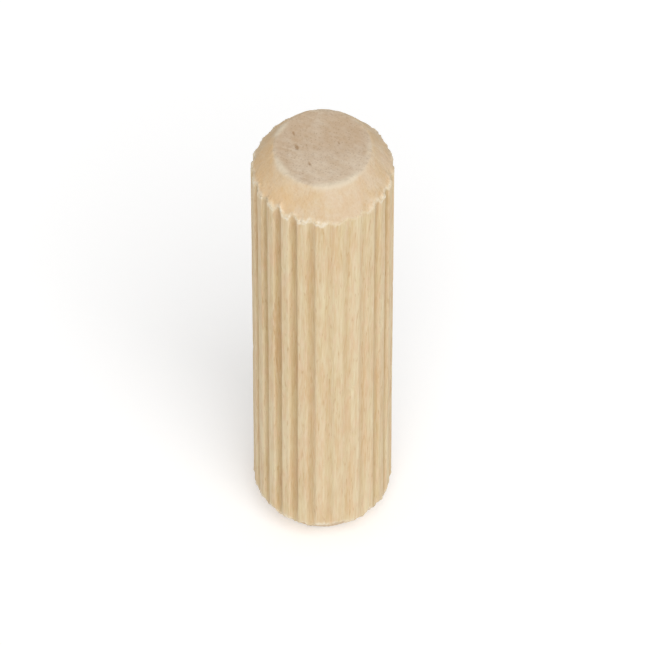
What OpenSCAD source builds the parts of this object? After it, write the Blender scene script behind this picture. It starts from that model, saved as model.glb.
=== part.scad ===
// Fluted wooden dowel pin.
// A straight round pin, tapered at both ends so that it finds its hole. The flutes
// along its side let air and spare glue out of the hole as the pin is driven in.
// It stands on one end face: its axis is +Z and its foot is at z = 0.

/* [Pin] */
// Diameter across the lands, which is the hole that the pin is made for
pin_d = 10; // [8:0.5:20]
// Length from one end face to the other
pin_l = 40; // [15:1:80]

/* [Ends] */
// Length of the taper at each end, measured along the pin
taper_l = 2.4; // [1:0.1:4]
// Angle between the taper and the pin's axis, in degrees
taper_angle = 33; // [20:1:45]
// Radius of the worn rim between each end face and its taper
rim_r = 0.3; // [0.1:0.05:0.6]

/* [Flutes] */
// Number of flutes round the pin
flute_count = 24; // [12:1:26]
// Width of a flute at its mouth
flute_w = 0.65; // [0.6:0.05:0.75]
// Depth of a flute below the lands
flute_depth = 0.28; // [0.14:0.02:0.3]
// Radius that runs along both edges of each land
land_edge_r = 0.08; // [0.04:0.01:0.12]
// Angle from the X axis to the middle of the first flute, in degrees
flute_phase = 10; // [0:0.5:15]

/* [Hidden] */

// Pale beech
wood = "#e1c69e";
// How far a cutting shape runs past what it cuts
overrun = 1;
// How far two rounds cross where they meet, so that no sliver is left between them
eps = 0.001;

pin_r = pin_d / 2;
flute_pitch = 360 / flute_count;

// A flute is an arc that passes through both edges of its mouth and its lowest line
flute_r = (flute_w * flute_w / 4 + flute_depth * flute_depth) / (2 * flute_depth);
// Distance of that arc's centre from the pin's axis
flute_c = pin_r - flute_depth + flute_r;
// Distance of a land edge's centre from the pin's axis
edge_c = pin_r - land_edge_r + eps;
// Half of the angle between the two land edges of one flute, by the law of cosines
edge_angle = acos(
    (edge_c * edge_c + flute_c * flute_c - pow(flute_r + land_edge_r - eps, 2))
    / (2 * edge_c * flute_c));

// Radius of an end face's sharp corner, before its rim is worn round
end_r = pin_r - taper_l * tan(taper_angle);
// Distance from that corner to where the round rim starts on either side
rim_t = rim_r * tan((90 - taper_angle) / 2);

// Number of segments on the large and the small rounds
round_fn = 144;
edge_fn = 32;

// A point at a distance and an angle from the pin's axis
function polar(r, a) = [r * cos(a), r * sin(a)];

// Space of one flute, centred on the X axis. Its two upper corners are left out
// round the land edges, so that the lands end in a small true round.
module flute_space() {
    translate([flute_c, 0]) circle(r = flute_r, $fn = edge_fn);
    difference() {
        polygon([
            [flute_c, 0],
            polar(edge_c, -edge_angle),
            polar(pin_r + overrun, -edge_angle),
            polar(pin_r + overrun, edge_angle),
            polar(edge_c, edge_angle)
        ]);
        for (side = [-1, 1])
            translate(polar(edge_c, side * edge_angle))
                circle(r = land_edge_r, $fn = edge_fn);
    }
}

// Section of the pin between its tapers
module fluted_section() {
    difference() {
        circle(r = pin_r, $fn = round_fn);
        for (i = [0 : flute_count - 1])
            rotate(flute_phase + i * flute_pitch) flute_space();
    }
}

// Half of an end's outline, from the end face to where the taper has left the pin
module end_outline(height) {
    polygon([
        [0, 0],
        [end_r - rim_t, 0],
        [end_r + rim_t * sin(taper_angle), rim_t * cos(taper_angle)],
        [pin_r + overrun, taper_l + overrun / tan(taper_angle)],
        [pin_r + overrun, height],
        [0, height]
    ]);
    translate([end_r - rim_t, rim_r]) circle(r = rim_r, $fn = edge_fn);
}

// Solid of revolution that gives the pin its length, its end faces and its tapers
module tapered_ends() {
    rotate_extrude($fn = round_fn) {
        end_outline(pin_l / 2);
        translate([0, pin_l]) mirror([0, 1]) end_outline(pin_l / 2);
    }
}

// The pin: one piece of wood
module dowel_pin() {
    color(wood) intersection() {
        translate([0, 0, -overrun])
            linear_extrude(height = pin_l + 2 * overrun) fluted_section();
        tapered_ends();
    }
}

dowel_pin();
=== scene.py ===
# %% [markdown]
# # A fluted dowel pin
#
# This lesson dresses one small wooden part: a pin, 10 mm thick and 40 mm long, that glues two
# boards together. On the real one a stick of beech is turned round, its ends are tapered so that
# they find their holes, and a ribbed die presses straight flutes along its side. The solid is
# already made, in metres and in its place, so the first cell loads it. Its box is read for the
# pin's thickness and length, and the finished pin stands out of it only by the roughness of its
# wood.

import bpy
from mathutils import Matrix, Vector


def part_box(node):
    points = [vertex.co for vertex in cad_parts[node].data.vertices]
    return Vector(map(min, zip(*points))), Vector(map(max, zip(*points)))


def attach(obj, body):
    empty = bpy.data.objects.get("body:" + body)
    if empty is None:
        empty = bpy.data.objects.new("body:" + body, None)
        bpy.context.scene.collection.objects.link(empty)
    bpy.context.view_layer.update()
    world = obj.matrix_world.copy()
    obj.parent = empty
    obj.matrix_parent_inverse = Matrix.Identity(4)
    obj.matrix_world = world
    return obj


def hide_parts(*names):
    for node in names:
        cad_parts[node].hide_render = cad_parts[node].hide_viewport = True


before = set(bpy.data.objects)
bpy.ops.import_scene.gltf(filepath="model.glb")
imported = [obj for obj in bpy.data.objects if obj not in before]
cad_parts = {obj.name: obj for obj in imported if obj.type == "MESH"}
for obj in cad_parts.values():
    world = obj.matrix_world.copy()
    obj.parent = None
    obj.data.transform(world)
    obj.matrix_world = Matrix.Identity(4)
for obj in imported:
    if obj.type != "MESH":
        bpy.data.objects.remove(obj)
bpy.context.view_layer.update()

# %% [markdown]
# ## Sizes
#
# A millimetre is the natural unit of a part this small, while Blender's file is in metres, so
# each size is a number times `MM`. The radius and the length are read from the solid. The taper
# and the flutes have the sizes that the solid was cut with.

# %% Sizes of the pin
import math
import random

import bpy
import numpy as np

MM = 0.001

low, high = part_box("dowel_pin")
pin_r = (high[0] - low[0]) / 2
pin_l = high[2] - low[2]

taper_l = 2.4 * MM
taper_angle = math.radians(33)
rim_r = 0.3 * MM
end_r = pin_r - taper_l * math.tan(taper_angle)

flute_count = 24
flute_w = 0.65 * MM
flute_depth = 0.28 * MM
land_edge_r = 0.08 * MM
flute_phase = math.radians(10)
flute_pitch = 2 * math.pi / flute_count

print(f"pin {2 * pin_r / MM:.2f} x {pin_l / MM:.2f} mm, end face {2 * end_r / MM:.2f} mm")

# %% [markdown]
# ## Picking points
#
# In the viewport a modeller clicks the points to move. A script picks them by where they are.
# One helper reads all the places, and one selects the points or edges that a test chooses.
# Everything is deselected first, because an operator acts on all that is selected.

# %% Helpers that read and select
scene = bpy.context.scene
bpy.ops.object.select_all(action="DESELECT")


def object_mode():
    """Leave edit mode, where a mesh's points can't be read."""
    if bpy.context.mode != "OBJECT":
        bpy.ops.object.mode_set(mode="OBJECT")


def places(piece):
    """Every point of a mesh as rows of x, y, z."""
    object_mode()
    flat = np.empty(3 * len(piece.data.vertices))
    piece.data.vertices.foreach_get("co", flat)
    return flat.reshape(-1, 3)


def edge_ends(piece):
    """The numbers of both end points of every edge."""
    object_mode()
    flat = np.empty(2 * len(piece.data.edges), dtype=np.int32)
    piece.data.edges.foreach_get("vertices", flat)
    return flat.reshape(-1, 2)


def choose(piece, points=None, edges=None):
    """Select these points, or these edges, and nothing else, in edit mode."""
    object_mode()
    mesh = piece.data
    by_edge = edges is not None
    if by_edge:
        points = np.zeros(len(mesh.vertices), dtype=bool)
        points[edge_ends(piece)[edges].ravel()] = True
    else:
        edges = np.zeros(len(mesh.edges), dtype=bool)
    scene.tool_settings.mesh_select_mode = (not by_edge, by_edge, False)
    mesh.polygons.foreach_set("select", np.zeros(len(mesh.polygons), dtype=bool))
    mesh.edges.foreach_set("select", edges)
    mesh.vertices.foreach_set("select", points)
    bpy.ops.object.mode_set(mode="EDIT")


# Two places nearer to each other than this count as one
TINY = 0.002 * MM

# %% [markdown]
# ## The turned blank
#
# A cylinder is a good start, because only its ends have to change. It gets 24 sides for each of
# its 24 flutes: a column of points then stands on the middle of every flute and every land,
# 0.05 mm apart, which is fine enough for the round floor of a flute. Bisecting it marks where
# each taper ends, and where a short shoulder ends that will need finer rings. Then the end
# rings are drawn in, and a round bevel wears the rim of each end face.

# %% Turn the blank
sides_per_flute = 24
shoulder_l = 1.2 * MM

bpy.ops.mesh.primitive_cylinder_add(
    vertices=flute_count * sides_per_flute, radius=pin_r, depth=pin_l,
    end_fill_type="NGON", location=(0, 0, pin_l / 2))
pin = bpy.context.active_object
pin.name = "fluted_pin"
bpy.ops.object.transform_apply(location=True, rotation=True, scale=True)

cuts = [taper_l, taper_l + shoulder_l, pin_l - taper_l - shoulder_l, pin_l - taper_l]
bpy.ops.object.mode_set(mode="EDIT")
for height in cuts:
    bpy.ops.mesh.select_all(action="SELECT")
    bpy.ops.mesh.bisect(plane_co=(0, 0, height), plane_no=(0, 0, 1))

z = places(pin)[:, 2]
at_ends = (z < TINY) | (z > pin_l - TINY)
choose(pin, points=at_ends)
bpy.ops.transform.resize(value=(end_r / pin_r, end_r / pin_r, 1), center_override=(0, 0, 0))

# A bevel's offset is the distance from the sharp corner to where the round starts
rim_t = rim_r * math.tan((math.pi / 2 - taper_angle) / 2)
rim_segments = 4
ends = edge_ends(pin)
choose(pin, edges=at_ends[ends[:, 0]] & at_ends[ends[:, 1]])
bpy.ops.mesh.bevel(offset=rim_t, offset_type="OFFSET", segments=rim_segments, profile=0.5)
print("blank:", len(places(pin)), "points")

# %% [markdown]
# ## The flutes
#
# The ribs of the die could be modelled and cut away with a Boolean, but a Boolean leaves slivers
# that spoil the fine relief later. The columns already stand where the flutes are, so each
# column is drawn in to the depth of the flute at its angle. The floor is one arc, and a small
# arc rounds the edge of the land. Where a column goes down, the taper meets it nearer the
# end, so its point on the taper's edge slides along the taper. That slide makes the row of
# teeth round each end. The cutter of the taper pushed some torn wood down into the flutes, so
# they grow shallower towards their mouths. The stick also ran a little off centre between the
# rollers of the die, so on one side of the pin the flutes are shallow, the middle one most of all.

# %% Press the flutes
flute_r = (flute_w ** 2 / 4 + flute_depth ** 2) / (2 * flute_depth)
flute_c = pin_r - flute_depth + flute_r
edge_c = pin_r - land_edge_r
edge_angle = math.acos(
    (edge_c ** 2 + flute_c ** 2 - (flute_r + land_edge_r) ** 2) / (2 * edge_c * flute_c))

# Where the floor's arc hands over to the land edge's arc
touch = land_edge_r / (flute_r + land_edge_r)
touch_x = edge_c * math.cos(edge_angle) * (1 - touch) + flute_c * touch
touch_y = edge_c * math.sin(edge_angle) * (1 - touch)
touch_angle = math.atan2(touch_y, touch_x)


def flute_radius(angle):
    """Distance of the pressed surface from the axis, at an angle from a flute's middle."""
    if angle < touch_angle:
        side = flute_c * math.sin(angle)
        return flute_c * math.cos(angle) - math.sqrt(flute_r ** 2 - side ** 2)
    if angle < edge_angle:
        side = edge_c * math.sin(edge_angle - angle)
        return edge_c * math.cos(edge_angle - angle) + math.sqrt(land_edge_r ** 2 - side ** 2)
    return pin_r


# The faintest flute, and the depths going away from it to either side
faint_flute = 19
faint_shares = (0.5, 0.55, 0.8, 0.95)


def press_share(flute):
    """How deep a flute is pressed, as a share of the full depth."""
    steps = min((flute - faint_flute) % flute_count, (faint_flute - flute) % flute_count)
    return faint_shares[steps] if steps < len(faint_shares) else 1.0


def pressed_depth(angle, share):
    """How far the surface is pressed in, at an angle from the middle of a flute."""
    return share * (pin_r - flute_radius(angle))


# What is left of a flute's depth at its mouth, where the taper cuts it off
mouth_share = 0.6

column_angle = flute_pitch / sides_per_flute


def columns(co):
    """Each point's distance from the nearest flute's middle, in columns, and its flute's share."""
    turn = (np.arctan2(co[:, 1], co[:, 0]) - flute_phase) / flute_pitch
    flute = np.rint(turn).astype(int)
    column = np.rint(np.abs(turn - flute) * sides_per_flute).astype(int)
    return column, np.array([press_share(number) for number in range(flute_count)])[flute]


co = places(pin)
column, share_at = columns(co)
on_side = np.hypot(co[:, 0], co[:, 1]) > pin_r - TINY
low_edge = on_side & (np.abs(co[:, 2] - taper_l) < TINY)
high_edge = on_side & (np.abs(co[:, 2] - pin_l + taper_l) < TINY)
at_mouth = low_edge | high_edge

for share in faint_shares + (1.0,):
    for number in range(sides_per_flute // 2):
        drop = pressed_depth(number * column_angle, share)
        if drop == 0:
            continue
        chosen = (column == number) & (share_at == share)
        mouth_drop = mouth_share * drop
        for row, inwards in ((~at_mouth, drop), (at_mouth, mouth_drop)):
            choose(pin, points=on_side & chosen & row)
            bpy.ops.transform.resize(
                value=(1 - inwards / pin_r, 1 - inwards / pin_r, 1), center_override=(0, 0, 0))
        slide = mouth_drop / math.tan(taper_angle)
        choose(pin, points=low_edge & chosen)
        bpy.ops.transform.translate(value=(0, 0, -slide))
        choose(pin, points=high_edge & chosen)
        bpy.ops.transform.translate(value=(0, 0, slide))
tooth_l = mouth_share * flute_depth / math.tan(taper_angle)
print(f"flutes: {flute_depth / MM:.2f} mm deep at most, teeth {tooth_l / MM:.2f} mm")

# %% [markdown]
# ## Rings for the relief
#
# The surface needs many small faces before it can carry grain. Subdividing only the upright
# edges gives clean rings. Grain runs along the pin, so the long middle needs few of them. The
# shoulders and the tapers get closer rings, because the torn fibres sit there.

# %% Add the rings
def split_upright_edges(piece, shortest, longest, rings):
    """Cut the edges that run along the pin and whose height lies in a range."""
    co = places(piece)
    a, b = (co[end] for end in edge_ends(piece).T)
    # Both ends of an upright edge lie at one angle, where their cross product is zero
    same_angle = np.abs(a[:, 0] * b[:, 1] - a[:, 1] * b[:, 0]) < TINY * MM
    rise = np.abs(a[:, 2] - b[:, 2])
    choose(piece, edges=same_angle & (rise > shortest) & (rise < longest))
    bpy.ops.mesh.subdivide(number_cuts=rings)


middle_rings = 71
taper_rings = 19
shoulder_rings = 7
split_upright_edges(pin, 5 * MM, pin_l, middle_rings)
split_upright_edges(pin, 1.7 * MM, 3 * MM, taper_rings)
split_upright_edges(pin, 1.1 * MM, 1.7 * MM, shoulder_rings)
print("with rings:", len(places(pin)), "points")

# %% [markdown]
# ## A grid on each end face
#
# Rings drawn in to a centre would leave needle-thin faces there, and relief shows them up as a
# fan of lines. End grain has no centre either: its pores lie evenly, as on the saw's cut. So one
# inset keeps the rim clean, every other point of its inner edge is dissolved, and the round
# hole that is left is filled with a grid of even squares.

# %% Fill the end faces
inset_w = 0.1 * MM
face_r = end_r - rim_t - inset_w
grid_span = flute_count * sides_per_flute // 8


def inner_edge(height):
    """The points of the inset's inner edge at one end, and the number of each one's column."""
    co = places(pin)
    radius = np.hypot(co[:, 0], co[:, 1])
    inside = (np.abs(co[:, 2] - height) < TINY) & (radius < face_r + inset_w / 2)
    return inside, np.rint(np.arctan2(co[:, 1], co[:, 0]) / column_angle).astype(int)


for height in (0, pin_l):
    z = places(pin)[:, 2]
    choose(pin, points=np.abs(z - height) < TINY)
    bpy.ops.mesh.inset(thickness=inset_w)
    bpy.ops.mesh.delete(type="ONLY_FACE")
    inside, number = inner_edge(height)
    choose(pin, points=inside & (number % 2 == 1))
    bpy.ops.mesh.dissolve_verts()
    inside, number = inner_edge(height)
    choose(pin, points=inside)
    bpy.ops.mesh.fill_grid(span=grid_span)

bpy.ops.mesh.select_all(action="SELECT")
bpy.ops.mesh.normals_make_consistent(inside=False)
object_mode()
print("pin:", len(pin.data.vertices), "points,", len(pin.data.polygons), "faces")

# %% [markdown]
# ## Where each finish lies
#
# Side, taper, teeth and end face of the real pin look different, because the tools met the grain
# at different angles. The clean mesh knows exactly where each of them is, so that is written
# down now, before any relief moves the points. Each zone becomes an attribute that the
# material reads, and a vertex group that limits a modifier. The saw also broke a few small pits
# out of the end faces, where a ray of hard cells runs through the wood, so each is long and thin.

# %% Mark the zones
co = places(pin)
radius = np.hypot(co[:, 0], co[:, 1])
from_end = np.minimum(co[:, 2], pin_l - co[:, 2])

column, share_at = columns(co)
profile = [pressed_depth(n * column_angle, 1.0) for n in range(sides_per_flute // 2 + 1)]
full_depth = share_at * np.array(profile)[column]
mouth_at = taper_l - mouth_share * full_depth / math.tan(taper_angle)
past_tooth = from_end - mouth_at
run_in = np.clip(past_tooth / (taper_l + shoulder_l - mouth_at), 0, 1)
depth = full_depth * (mouth_share + (1 - mouth_share) * run_in)

# How torn the fibres are: fully on a land, and less down in a flute
spared_in_flute = 0.7
torn_share = 1 - spared_in_flute * depth / flute_depth

# The direction of the rays on an end face, and how much longer than wide a pit is
ray_turn = math.radians(-65)
pit_stretch = 2.6


def pit(x, y, height, width):
    """A soft spot on an end face, at a place in millimetres."""
    right, back = co[:, 0] - x * MM, co[:, 1] - y * MM
    along = (right * math.cos(ray_turn) + back * math.sin(ray_turn)) / pit_stretch
    across = back * math.cos(ray_turn) - right * math.sin(ray_turn)
    spot = np.exp(-(along ** 2 + across ** 2) / (width * MM) ** 2)
    return np.where(np.abs(co[:, 2] - height) < TINY, spot, 0.0)


pits = [
    pit(-1.8, -0.1, pin_l, 0.12), pit(-2.1, 1.1, pin_l, 0.08), pit(-0.8, -1.5, pin_l, 0.08),
    pit(1.1, 0.5, pin_l, 0.07), pit(1.3, 1.6, 0, 0.12), pit(-0.6, -1.8, 0, 0.09)]

is_end = from_end < TINY
is_body = past_tooth > -TINY

# How far each soft zone reaches before it has faded
end_reach = 0.08 * MM
tooth_reach = 0.22 * MM
tip_reach = 0.3 * MM
edge_reach = 0.5 * MM
rim_reach = 0.38 * MM
from_rim = np.hypot(radius - end_r, from_end)
zones = {
    "end": np.exp(-(from_end / end_reach) ** 2),
    "pit": np.max(pits, axis=0),
    "rim": np.exp(-(from_rim / rim_reach) ** 2),
    "taper": np.where(is_end | is_body, 0.0, 1.0),
    "body": np.where(is_body, 1.0, 0.0),
    "flute": np.where(is_body, depth / flute_depth, 0.0),
    "tooth": np.where(is_end, 0.0, np.exp(-(past_tooth / tooth_reach) ** 2)),
    "tip": np.where(is_end, 0.0, np.exp(-(past_tooth / tip_reach) ** 2) * torn_share),
    "edge": np.where(is_end, 0.0, np.exp(-(past_tooth / edge_reach) ** 2)),
}

weight_steps = 16
for name, weights in zones.items():
    pin.data.attributes.new("zone_" + name, "FLOAT", "POINT").data.foreach_set("value", weights)
    group = pin.vertex_groups.new(name=name)
    stepped = np.rint(weights * weight_steps).astype(int)
    for step in range(1, weight_steps + 1):
        members = np.flatnonzero(stepped == step)
        if len(members):
            group.add(members.tolist(), step / weight_steps, "REPLACE")
print("points mostly in each zone:", {name: int((w > 0.5).sum()) for name, w in zones.items()})

# %% [markdown]
# ## Relief
#
# Bare wood is never smooth at this scale. Each kind of roughness is a Displace modifier with a
# procedural cloud. The cloud lies in the space of an empty, whose scale is the size of one bump
# across the grain and along it, so a fibre is simply an empty that is tall. The modifiers are
# applied and the empties deleted, and only real shape is left.

# %% A helper that presses relief
def relief(piece, zone, height, size, middle=0.5, along="NORMAL", shift=(0, 0, 0), turn=0):
    """Raise and lower one zone by clouds whose bumps have a size in x, y and z."""
    cloud = bpy.data.textures.new("relief", "CLOUDS")
    cloud.noise_scale = 1
    cloud.noise_depth = 2
    empty = bpy.data.objects.new("relief_space", None)
    scene.collection.objects.link(empty)
    empty.scale = size
    empty.location = shift
    empty.rotation_euler = (0, 0, turn)
    bpy.context.view_layer.update()
    displace = piece.modifiers.new("relief", "DISPLACE")
    displace.texture = cloud
    displace.texture_coords = "OBJECT"
    displace.texture_coords_object = empty
    displace.vertex_group = zone
    displace.strength = height
    displace.mid_level = middle
    displace.direction = along
    bpy.context.view_layer.objects.active = piece
    bpy.ops.object.modifier_apply(modifier=displace.name)
    bpy.data.objects.remove(empty)
    bpy.data.textures.remove(cloud)


# %% [markdown]
# The die pressed some flutes deeper than others, because no stick runs quite true between its
# rollers. Fibres stand a little proud along the whole side. The cutter that made the tapers
# left faint rings across them, and where it broke through into each flute it tore the fibres:
# the row of teeth wanders up and down there and carries a raised, ragged lip. The saw left the
# end faces nearly flat, with faint marks in one direction.

# %% Press relief into the surface
saw_turn = math.radians(-21)
pit_depth = 0.06 * MM
before = places(pin)
for height, down in ((pin_l, -pit_depth), (0, pit_depth)):
    choose(pin, points=(zones["pit"] > 0.5) & (np.abs(before[:, 2] - height) < TINY))
    bpy.ops.transform.translate(value=(0, 0, down))
object_mode()

# Long waves in the flutes, then thick and fine fibres along the whole side
relief(pin, "flute", 0.35 * MM, (4 * MM, 4 * MM, 25 * MM), middle=0.45, shift=(7 * MM, 0, 0))
relief(pin, "body", 0.06 * MM, (1.4 * MM, 1.4 * MM, 9 * MM))
relief(pin, "body", 0.035 * MM, (0.16 * MM, 0.16 * MM, 3.5 * MM), shift=(0, 3 * MM, 0))

# The cutter's rings and torn spots on the tapers
relief(pin, "taper", 0.03 * MM, (0.9 * MM, 0.9 * MM, 0.13 * MM))
relief(pin, "taper", 0.05 * MM, (0.25 * MM, 0.25 * MM, 0.35 * MM), shift=(0, 0, 1 * MM))

# The row of teeth wanders up and down, and carries its lip
relief(pin, "edge", 0.80 * MM, (0.6 * MM, 0.6 * MM, 9 * MM), along="Z")
relief(pin, "tooth", 0.16 * MM, (0.15 * MM, 0.15 * MM, 0.3 * MM), middle=0.46)

# The worn rim, then the grain and the saw's marks on the end faces
relief(
    pin, "rim", 0.12 * MM, (0.35 * MM, 0.35 * MM, 0.35 * MM), middle=0.75, shift=(2 * MM, 0, 0))
relief(pin, "end", 0.03 * MM, (0.22 * MM, 0.22 * MM, 0.22 * MM), middle=0.8)
relief(pin, "end", 0.03 * MM, (2.2 * MM, 0.28 * MM, 1 * MM), middle=0.8, turn=saw_turn)

# %% [markdown]
# ## Nicks
#
# Loose pins knock against each other in their bag, so a few lands carry a small dent. In the
# viewport that is one point pushed in with proportional editing, which takes its neighbours
# along less and less with distance, and the operator does the same here.

# %% Knock a few nicks into the lands
def nick(piece, angle, height, size, depth):
    """Push the surface in, towards the axis, at an angle and a height."""
    co = places(piece)
    outward = np.array([math.cos(angle), math.sin(angle), 0])
    spot = outward * pin_r + np.array([0, 0, height])
    chosen = np.zeros(len(co), dtype=bool)
    chosen[np.argmin(np.linalg.norm(co - spot, axis=1))] = True
    choose(piece, points=chosen)
    bpy.ops.transform.translate(
        value=tuple(-depth * outward), use_proportional_edit=True,
        proportional_edit_falloff="SMOOTH", proportional_size=size)


nick_count = 14

# Where on a land a nick lies: its way from one flute's middle to the next, as a share
nick_share = 0.38

draw = random.Random(5)
for _ in range(nick_count):
    flute = draw.randrange(flute_count)
    nick_angle = flute_phase + (flute + nick_share) * flute_pitch
    nick(
        pin, angle=nick_angle, height=draw.uniform(0.12, 0.88) * pin_l,
        size=draw.uniform(0.35, 0.7) * MM, depth=draw.uniform(0.07, 0.16) * MM)
moved = np.linalg.norm(places(pin) - before, axis=1)
print(f"relief: mean {moved.mean() / MM:.3f} mm, most {moved.max() / MM:.3f} mm")

bpy.ops.object.select_all(action="DESELECT")
pin.select_set(True)
bpy.ops.object.shade_smooth()

# %% [markdown]
# ## Torn fibres
#
# Where the cutter left the wood, loose fibres still stand over the edges of the teeth. One sliver
# is modelled: a flattened five-sided cone, cut across so that it can bend, and curled sideways
# by a Simple Deform modifier. It has only 26 faces, as there are many of them. The bisects need a
# threshold far below their default of 0.1 mm, which would swallow a cut on a piece this small.
# Each copy has its own mesh, size and lean, and at the end they are joined into one piece.

# %% Model one sliver
sliver_w = 0.12 * MM
sliver_l = 0.5 * MM
sliver_flatness = 0.55
sliver_curl = math.radians(45)
bpy.ops.object.select_all(action="DESELECT")
bpy.ops.mesh.primitive_cone_add(
    vertices=5, radius1=sliver_w / 2, radius2=0, depth=sliver_l, location=(0, 0, sliver_l / 2))
sliver = bpy.context.active_object
bpy.ops.object.transform_apply(location=True, rotation=True, scale=True)
sliver_cuts = 4
bpy.ops.object.mode_set(mode="EDIT")
for cut in range(1, sliver_cuts + 1):
    bpy.ops.mesh.select_all(action="SELECT")
    bpy.ops.mesh.bisect(
        plane_co=(0, 0, cut * sliver_l / (sliver_cuts + 1)), plane_no=(0, 0, 1), threshold=TINY)
bpy.ops.mesh.select_all(action="SELECT")
bpy.ops.transform.resize(value=(sliver_flatness, 1, 1), center_override=(0, 0, 0))
object_mode()
curl = sliver.modifiers.new("curl", "SIMPLE_DEFORM")
curl.deform_method = "BEND"
curl.deform_axis = "X"
curl.angle = sliver_curl
bpy.ops.object.modifier_apply(modifier=curl.name)
bpy.ops.object.shade_smooth()
tip = places(sliver)[np.argmax(places(sliver)[:, 2])] / MM
print(f"sliver: {len(sliver.data.polygons)} faces, tip at {tip.round(2)} mm")


# %% Copy it round the teeth
def lay_sliver(angle, radius, height, upwards, lean, facing, size):
    """Root a copy at a point of the surface, pointing up or down the pin and leaning inwards."""
    bpy.ops.object.select_all(action="DESELECT")
    sliver.select_set(True)
    bpy.context.view_layer.objects.active = sliver
    bpy.ops.object.duplicate()
    copy = bpy.context.active_object
    copy.location = (radius * math.cos(angle), radius * math.sin(angle), height)
    turn_over = 0 if upwards else math.pi
    inwards = -lean * math.cos(turn_over) * math.cos(facing)
    copy.rotation_euler = (turn_over, inwards, angle + facing)
    copy.scale = size
    return copy


# How deep a root sits in the wood, and how far past the tooth's edge it lies
sunk = 0.03 * MM
past_edge = 0.15 * MM

slivers = []
for flute in range(flute_count):
    for top in (True, False):
        for _ in range(draw.choice((0, 1, 1, 2))):
            across = draw.uniform(-0.5, 0.5) * flute_pitch
            drop = mouth_share * pressed_depth(abs(across), press_share(flute))
            edge = taper_l - drop / math.tan(taper_angle) + past_edge
            angle = flute_phase + flute * flute_pitch + across
            height = pin_l - edge if top else edge
            size = (draw.uniform(0.6, 1.3), draw.uniform(0.6, 1.3), draw.uniform(0.35, 0.8))
            lean = math.radians(draw.uniform(3, 24))
            facing = draw.choice((0, math.pi))
            slivers.append(lay_sliver(
                angle, pin_r - drop - sunk, height, top, lean, facing, size))

print("slivers:", len(slivers))
bpy.ops.object.select_all(action="DESELECT")
for piece in slivers:
    piece.select_set(True)
bpy.context.view_layer.objects.active = slivers[0]
bpy.ops.object.join()
torn = bpy.context.active_object
torn.name = "torn_fibres"
bpy.ops.object.transform_apply(location=True, rotation=True, scale=True)
bpy.data.objects.remove(sliver)
torn.data.attributes.new("zone_tip", "FLOAT", "POINT").data.foreach_set(
    "value", np.ones(len(torn.data.vertices)))

# %% [markdown]
# ## Beech
#
# The pin is bare beech. Its pale cream comes in fine straight streaks, because the pin was split
# and turned along the grain. An image of wood wrapped round the side would show a seam, and its
# streaks would stop dead at the ends. A material made of nodes has neither fault. One function
# reads the colours, which are written as on a paint chart, and one adds a node.

# %% Helpers for materials
def linear(code):
    """A hex colour, as a paint chart gives it, turned to the linear values that Blender wants."""
    parts = [int(code[i:i + 2], 16) / 255 for i in (1, 3, 5)]
    return tuple(p / 12.92 if p <= 0.04045 else ((p + 0.055) / 1.055) ** 2.4 for p in parts) + (1,)


def add(tree, kind, inputs=None, **settings):
    """Add a node. Settings are its own, and inputs are values or the sockets that feed it."""
    new = tree.nodes.new(kind)
    for name, value in settings.items():
        setattr(new, name, value)
    for name, value in (inputs or {}).items():
        if isinstance(value, bpy.types.NodeSocket):
            tree.links.new(value, new.inputs[name])
        else:
            new.inputs[name].default_value = value
    return new


# %% [markdown]
# ## Patterns of the wood
#
# The streaks of the side, seen end on, are the specks of the end faces, so solid patterns in
# millimetres serve the whole pin. They only have to be stretched along the grain, which runs a
# degree or so off the pin's axis. The fibres and pores of beech are well under 0.1 mm wide, too
# fine to show from where the camera stands, so they are drawn coarser, 0.1 to 0.2 mm wide.

# %% Make the patterns
beech = bpy.data.materials.new("bare_beech")
beech.use_nodes = True
tree = beech.node_tree
tree.nodes.clear()

# The log's own space, in millimetres, with its grain along Z and the saw's marks along X
grain_tilt = (math.radians(1.3), math.radians(-0.8))
log = add(
    tree, "ShaderNodeMapping",
    {"Vector": add(tree, "ShaderNodeTexCoord").outputs["Object"],
     "Rotation": (grain_tilt[0], grain_tilt[1], -saw_turn),
     "Scale": (1 / MM, 1 / MM, 1 / MM)}).outputs["Vector"]


def stretched(across, along, shift=(0, 0, 0)):
    """The log's space, counted in bumps of a width across the grain and a length along it."""
    wide, deep = across if isinstance(across, tuple) else (across, across)
    return add(
        tree, "ShaderNodeMapping",
        {"Vector": log, "Location": shift, "Scale": (1 / wide, 1 / deep, 1 / along)}
    ).outputs["Vector"]


def grain(across, along, detail, shift=(0, 0, 0)):
    """Noise whose bumps have a width across the grain and a length along it."""
    return add(
        tree, "ShaderNodeTexNoise",
        {"Vector": stretched(across, along, shift), "Scale": 1.0, "Detail": detail,
         "Roughness": 0.6}).outputs["Fac"]


def ramp(value, low, high, start=0.0, end=1.0):
    """Spread a range of values from start to end."""
    return add(
        tree, "ShaderNodeMapRange",
        {"Value": value, "From Min": low, "From Max": high, "To Min": start, "To Max": end},
        interpolation_type="SMOOTHSTEP").outputs["Result"]


def times(first, second):
    """Multiply two values."""
    return add(tree, "ShaderNodeMath", {0: first, 1: second}, operation="MULTIPLY").outputs[0]


def blend(factor, first, second, how="MIX"):
    """Mix two colours by a factor, or with MULTIPLY tint the first by the second."""
    mixer = add(tree, "ShaderNodeMix", data_type="RGBA", blend_type=how)
    for name, value in ((0, factor), (6, first), (7, second)):
        if isinstance(value, bpy.types.NodeSocket):
            tree.links.new(value, mixer.inputs[name])
        else:
            mixer.inputs[name].default_value = value
    return mixer.outputs[2]


def zone(name):
    """How much a place belongs to a zone, as the mesh stores it."""
    return add(tree, "ShaderNodeAttribute", attribute_name="zone_" + name).outputs["Fac"]


# Year rings: arcs round the heart of the tree, which lay well outside the pin
ring_w = 1.9

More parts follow.
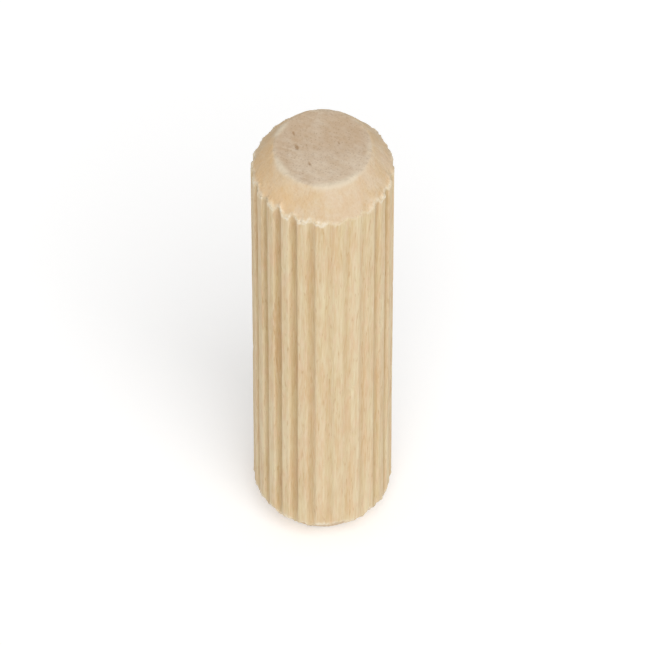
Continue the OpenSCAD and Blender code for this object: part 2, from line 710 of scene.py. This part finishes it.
# A wave texture of scale 1 runs through 20 radians in each unit
waves_per_unit = 20 / (2 * math.pi)
rings = add(
    tree, "ShaderNodeTexWave",
    {"Vector": stretched(ring_w * waves_per_unit, 60, (2.2, 4.1, 0)), "Scale": 1.0,
     "Distortion": 2.5, "Detail": 2.0, "Detail Scale": 0.35, "Detail Roughness": 0.5},
    wave_type="RINGS", rings_direction="Z", wave_profile="SAW").outputs["Fac"]

# The first two numbers are the width across the grain and the length along it
streaks = grain(0.5, 16, 3)
fibres = grain(0.13, 5, 2, shift=(3, 5, 0))
hairs = grain(0.09, 1.4, 1, shift=(1, 6, 2))
flecks = grain(0.14, 1.1, 1, shift=(9, 2, 4))
blush = grain(0.45, 1.2, 2, shift=(4, 4, 8))
warmth = grain(0.8, 5, 2, shift=(7, 3, 6))
wash = grain(4, 30, 1, shift=(2, 7, 1))
fuzz = grain(0.22, 0.22, 2, shift=(5, 1, 3))
mottle = grain(0.7, 0.9, 3, shift=(6, 3, 1))
stain = grain(3.5, 6, 1, shift=(1, 8, 9))
turned = grain(3, 0.16, 2, shift=(0, 2, 6))
sawn = grain((2.2, 0.28), 1, 2, shift=(6, 0, 2))
pores = add(
    tree, "ShaderNodeTexVoronoi",
    {"Vector": stretched(0.19, 5, (7, 7, 0)), "Scale": 1.0, "Randomness": 1.0}).outputs["Distance"]

# %% [markdown]
# ## Colours of the wood
#
# Each line lays one colour over the last, as with thin glazes of paint. A ramp turns a pattern
# into an amount, and its last two numbers are the amounts at the pattern's low and high values.
# Cut across the fibres, wood drinks in light and looks greyer and more pink, so the end faces
# and the tapers have colours of their own, which the zones bring in. Where fibres are torn they
# scatter the light and look pale. The rim of each end face is painted pale too, partly as rubbed
# wood and partly as a painted highlight along its round edge.

# %% Colour the side, and paint a little shade into the flutes
wood = blend(ramp(streaks, 0.36, 0.66), linear("#e3d0ab"), linear("#d9c194"))
wood = blend(ramp(rings, 0.2, 1.0, 0.0, 0.25), wood, linear("#c8a578"))
wood = blend(ramp(wash, 0.35, 0.65, 0.0, 0.35), wood, linear("#dec6a1"))
wood = blend(ramp(warmth, 0.48, 0.64, 0.0, 0.45), wood, linear("#ddba8f"))
wood = blend(ramp(warmth, 0.36, 0.5, 0.4, 0.0), wood, linear("#e6d7af"))
wood = blend(ramp(blush, 0.45, 0.7, 0.0, 0.45), wood, linear("#e3c2a2"))
wood = blend(ramp(fibres, 0.4, 0.7, 0.0, 0.25), wood, linear("#c6a374"))
wood = blend(ramp(hairs, 0.35, 0.6, 0.35, 0.0), wood, linear("#ebdcbd"))
wood = blend(ramp(flecks, 0.62, 0.74, 0.0, 0.34), wood, linear("#b98e59"))
# Painted shade in the flutes, stronger where a flute is deeper, together with the darker tone of
# the wood that the die pressed
wood = blend(ramp(zone("flute"), 0.15, 0.95), wood, linear("#ebe4d8"), how="MULTIPLY")

# %% Colour the tapers
taper_wood = blend(ramp(mottle, 0.35, 0.65), linear("#d9c4a8"), linear("#d4b791"))
taper_wood = blend(ramp(fuzz, 0.5, 0.75, 0.0, 0.28), taper_wood, linear("#c9a47a"))
taper_wood = blend(ramp(turned, 0.55, 0.75, 0.0, 0.2), taper_wood, linear("#c5a47c"))
taper_wood = blend(ramp(fibres, 0.45, 0.7, 0.0, 0.2), taper_wood, linear("#c49b6c"))
taper_wood = blend(ramp(stain, 0.4, 0.56, 0.42, 0.0), taper_wood, linear("#ecc088"))
taper_wood = blend(ramp(stain, 0.54, 0.66, 0.0, 0.38), taper_wood, linear("#dcc6b0"))
across_grain = add(
    tree, "ShaderNodeMath", {0: zone("end"), 1: zone("taper")}, operation="MAXIMUM").outputs[0]
wood = blend(ramp(across_grain, 0.0, 1.0, 0.0, 0.75), wood, taper_wood)

# Torn fibres are pale, most of all on the tips of the lands
patches = grain(2.4, 3, 1, shift=(4, 8, 3))
frayed = times(zone("tip"), ramp(patches, 0.38, 0.6, 0.4, 1.0))
torn_wood = blend(ramp(fuzz, 0.35, 0.65), linear("#f2e8d4"), linear("#e6d3b2"))
wood = blend(ramp(frayed, 0.1, 0.9, 0.0, 0.8), wood, torn_wood)

# %% Colour the end faces
end_wood = blend(ramp(mottle, 0.3, 0.7), linear("#d0bda7"), linear("#c6af95"))
end_wood = blend(ramp(fuzz, 0.5, 0.7, 0.0, 0.4), end_wood, linear("#b69b80"))
end_wood = blend(ramp(sawn, 0.5, 0.64, 0.0, 0.3), end_wood, linear("#ddcfba"))
end_wood = blend(ramp(sawn, 0.34, 0.48, 0.22, 0.0), end_wood, linear("#b99f84"))
end_wood = blend(ramp(stain, 0.42, 0.56, 0.35, 0.0), end_wood, linear("#bda285"))
end_wood = blend(ramp(stain, 0.5, 0.7, 0.0, 0.5), end_wood, linear("#dccab2"))
end_wood = blend(ramp(pores, 0.12, 0.4, 0.35, 0.0), end_wood, linear("#957a60"))
torn_out = times(zone("pit"), ramp(fuzz, 0.3, 0.6, 0.6, 1.1))
end_wood = blend(ramp(torn_out, 0.15, 0.8, 0.0, 0.7), end_wood, linear("#93704c"))
wood = blend(ramp(zone("end"), 0.0, 1.0, 0.0, 0.85), wood, end_wood)

# The rim is painted pale, though not evenly: partly rubbed wood, partly a painted highlight along
# its round edge
rubbed_and_highlight = times(zone("rim"), ramp(patches, 0.4, 0.6, 0.35, 1.0))
wood = blend(ramp(rubbed_and_highlight, 0.1, 0.95, 0.0, 0.8), wood, linear("#e0d1b8"))

# %% [markdown]
# ## Surface of the wood
#
# Bare wood is dull, because its surface is a mat of open fibres. So its roughness is high and
# changes from fibre to fibre, and its shine is kept low. A bump sharpens the fibres, which are
# only a few points wide in the mesh. Wood is no metal, and its IOR is that of its cell walls.

# %% Make the surface
bump_depth = 0.04 * MM
bump_strength = 0.7
wood_ior = 1.5
wood_shine = 0.3

height = add(
    tree, "ShaderNodeMath", {0: fibres, 1: times(fuzz, across_grain)}, operation="ADD").outputs[0]
bump = add(
    tree, "ShaderNodeBump",
    {"Height": height, "Strength": bump_strength, "Distance": bump_depth}).outputs["Normal"]
surface = add(
    tree, "ShaderNodeBsdfPrincipled",
    {"Base Color": wood, "Roughness": ramp(fibres, 0.3, 0.7, 0.62, 0.78), "Normal": bump,
     "IOR": wood_ior, "Specular IOR Level": wood_shine})
add(tree, "ShaderNodeOutputMaterial", {"Surface": surface.outputs["BSDF"]})
print("beech:", len(tree.nodes), "nodes")

# %% [markdown]
# ## The pin in place of the solid
#
# Both pieces take the wood. They ride on the part's root, because nothing on a pin moves, and
# the dressed pin takes the place of the plain solid.

# %% Put the pin in the solid's place
for piece in (pin, torn):
    piece.data.materials.clear()
    piece.data.materials.append(beech)
    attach(piece, "root")
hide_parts("dowel_pin")
print("pieces:", pin.name, "and", torn.name)

# %% [markdown]
# ## Floor
#
# The pin stands on plain white paper. Paper is a matt surface, so one diffuse shade does. It
# would look a little grey in this light, so the camera alone sees a faint glow added to it. The
# glow casts no light on the pin, and the pin's shadow stays.

# %% Lay the floor
floor_w = 4
paper_lift = 0.18

bpy.ops.mesh.primitive_plane_add(size=floor_w)
floor = bpy.context.active_object
floor.name = "floor"
paper = bpy.data.materials.new("white_paper")
paper.use_nodes = True
paper_tree = paper.node_tree
paper_tree.nodes.clear()
paper_shade = add(paper_tree, "ShaderNodeBsdfDiffuse", {"Color": linear("#f6f6f6")})
seen = add(paper_tree, "ShaderNodeLightPath")
lift = add(
    paper_tree, "ShaderNodeMath", {0: seen.outputs["Is Camera Ray"], 1: paper_lift},
    operation="MULTIPLY")
paper_glow = add(
    paper_tree, "ShaderNodeEmission", {"Color": linear("#ffffff"), "Strength": lift.outputs[0]})
paper_sum = add(
    paper_tree, "ShaderNodeAddShader",
    {0: paper_shade.outputs["BSDF"], 1: paper_glow.outputs["Emission"]})
add(paper_tree, "ShaderNodeOutputMaterial", {"Surface": paper_sum.outputs["Shader"]})
floor.data.materials.append(paper)
print("floor:", floor_w, "m wide")

# %% [markdown]
# ## Light
#
# A white room fills the shadows, and one large soft lamp from beside the camera does the
# modelling. A small lamp would draw hard lines along the flutes. The levels are such that a
# colour renders about as it is written. The room looks fully white to the camera and in
# reflections, and lights the pin at half of that.

# %% Light the room
room_seen = 1.0
room_light = 0.5

world = bpy.data.worlds.new("studio")
scene.world = world
world.use_nodes = True
sky = world.node_tree
sky.nodes.clear()
eye = add(sky, "ShaderNodeLightPath")
mirrored = add(
    sky, "ShaderNodeMath",
    {0: eye.outputs["Is Glossy Ray"], 1: eye.outputs["Is Transmission Ray"]}, operation="ADD")
white_seen = add(
    sky, "ShaderNodeMath", {0: eye.outputs["Is Camera Ray"], 1: mirrored.outputs[0]},
    operation="ADD", use_clamp=True)
sky_light = add(sky, "ShaderNodeBackground", {"Color": linear("#ffffff"), "Strength": room_light})
sky_white = add(sky, "ShaderNodeBackground", {"Color": linear("#ffffff"), "Strength": room_seen})
sky_mix = add(
    sky, "ShaderNodeMixShader",
    {0: white_seen.outputs[0], 1: sky_light.outputs["Background"],
     2: sky_white.outputs["Background"]})
add(sky, "ShaderNodeOutputWorld", {"Surface": sky_mix.outputs["Shader"]})

# %% Hang the lamp
# How far the camera, and the lamp with it, stand turned round the pin
view_turn = math.radians(4.5)


def sun(name, strength, soft, azimuth, elevation):
    """A lamp far away, at an azimuth to the camera's right and an elevation above the floor."""
    bpy.ops.object.light_add(type="SUN")
    lamp = bpy.context.active_object
    lamp.name = name
    lamp.data.energy = strength
    lamp.data.angle = math.radians(soft)
    lamp.rotation_euler = (math.radians(90 - elevation), 0, view_turn + math.radians(azimuth))


sun("key", strength=1.75, soft=50, azimuth=14, elevation=52)
print("lamps:", len(bpy.data.lights))

# %% [markdown]
# ## Camera
#
# The camera looks down on the pin, so that the end face shows as well as the side. It stands far
# back with a long lens, which keeps the sides of the pin nearly parallel, as in a catalogue.

# %% Set up the camera
camera_distance = 0.6
camera_elevation = math.radians(52.5)
camera_near = 0.01
film_w = 36
frame_height = 46 * MM

aim = ((low[0] + high[0]) / 2, (low[1] + high[1]) / 2, pin_l / 2)
camera_out = camera_distance * math.cos(camera_elevation)
bpy.ops.object.camera_add(
    location=(
        aim[0] + camera_out * math.sin(view_turn),
        aim[1] - camera_out * math.cos(view_turn),
        aim[2] + camera_distance * math.sin(camera_elevation)),
    rotation=(math.pi / 2 - camera_elevation, 0, view_turn))
camera = bpy.context.active_object
camera.data.sensor_width = film_w
camera.data.lens = film_w * camera_distance / frame_height
camera.data.clip_start = camera_near
scene.camera = camera
scene.view_settings.view_transform = "Standard"
print(f"lens: {camera.data.lens:.0f} mm")
